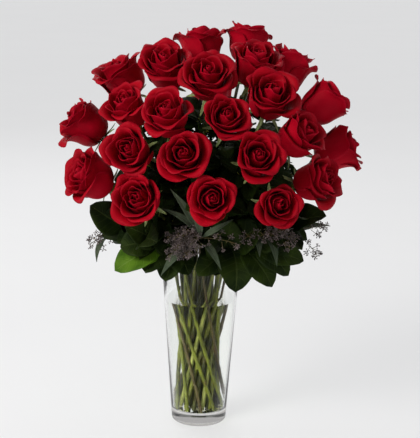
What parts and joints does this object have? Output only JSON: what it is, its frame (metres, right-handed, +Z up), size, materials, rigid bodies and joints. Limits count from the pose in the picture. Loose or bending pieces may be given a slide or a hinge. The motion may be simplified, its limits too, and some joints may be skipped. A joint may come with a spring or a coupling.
{
  "type": "roses in a vase",
  "caption": "Bouquet of long-stemmed red roses with salal leaves and seeded eucalyptus, standing in water in a clear tapered glass vase.",
  "frame": {"origin": "middle of the vase's flat underside", "axes": "+Z up, -Y the front of the bouquet, +X its right side seen from the front"},
  "size_m": [0.4477, 0.3367, 0.6109],
  "materials": {
    "petals": "velvety deep red, darker in the folds",
    "rose_green": "satin yellow-green stems, hips and sepals, darker leaves",
    "salal_green": "leathery dark green with a soft shine",
    "eucalyptus": "matte mauve-brown seeds, grey-green leaves",
    "glass": "clear polished glass",
    "water": "clear water"
  },
  "bodies": {
    "root": {"bloom_01": "petals", "bloom_02": "petals", "bloom_03": "petals", "bloom_04": "petals", "bloom_05": "petals", "bloom_06": "petals", "bloom_07": "petals", "bloom_08": "petals", "bloom_09": "petals", "bloom_10": "petals", "bloom_11": "petals", "bloom_12": "petals", "bloom_13": "petals", "bloom_14": "petals", "bloom_15": "petals", "bloom_16": "petals", "bloom_17": "petals", "bloom_18": "petals", "bloom_19": "petals", "bloom_20": "petals", "bloom_21": "petals", "bloom_22": "petals", "bloom_23": "petals", "bloom_24": "petals", "stem_01": "rose_green", "stem_02": "rose_green", "stem_03": "rose_green", "stem_04": "rose_green", "stem_05": "rose_green", "stem_06": "rose_green", "stem_07": "rose_green", "stem_08": "rose_green", "stem_09": "rose_green", "stem_10": "rose_green", "stem_11": "rose_green", "stem_12": "rose_green", "stem_13": "rose_green", "stem_14": "rose_green", "stem_15": "rose_green", "stem_16": "rose_green", "stem_17": "rose_green", "stem_18": "rose_green", "stem_19": "rose_green", "stem_20": "rose_green", "stem_21": "rose_green", "stem_22": "rose_green", "stem_23": "rose_green", "stem_24": "rose_green", "salal_back_left": "salal_green", "salal_left": "salal_green", "salal_front_left": "salal_green", "salal_front_right": "salal_green", "salal_right": "salal_green", "salal_back_right": "salal_green", "eucalyptus_left": "eucalyptus", "eucalyptus_front": "eucalyptus", "eucalyptus_front_right": "eucalyptus", "eucalyptus_right": "eucalyptus", "vase": "glass", "water": "water"}
  },
  "joints": []
}
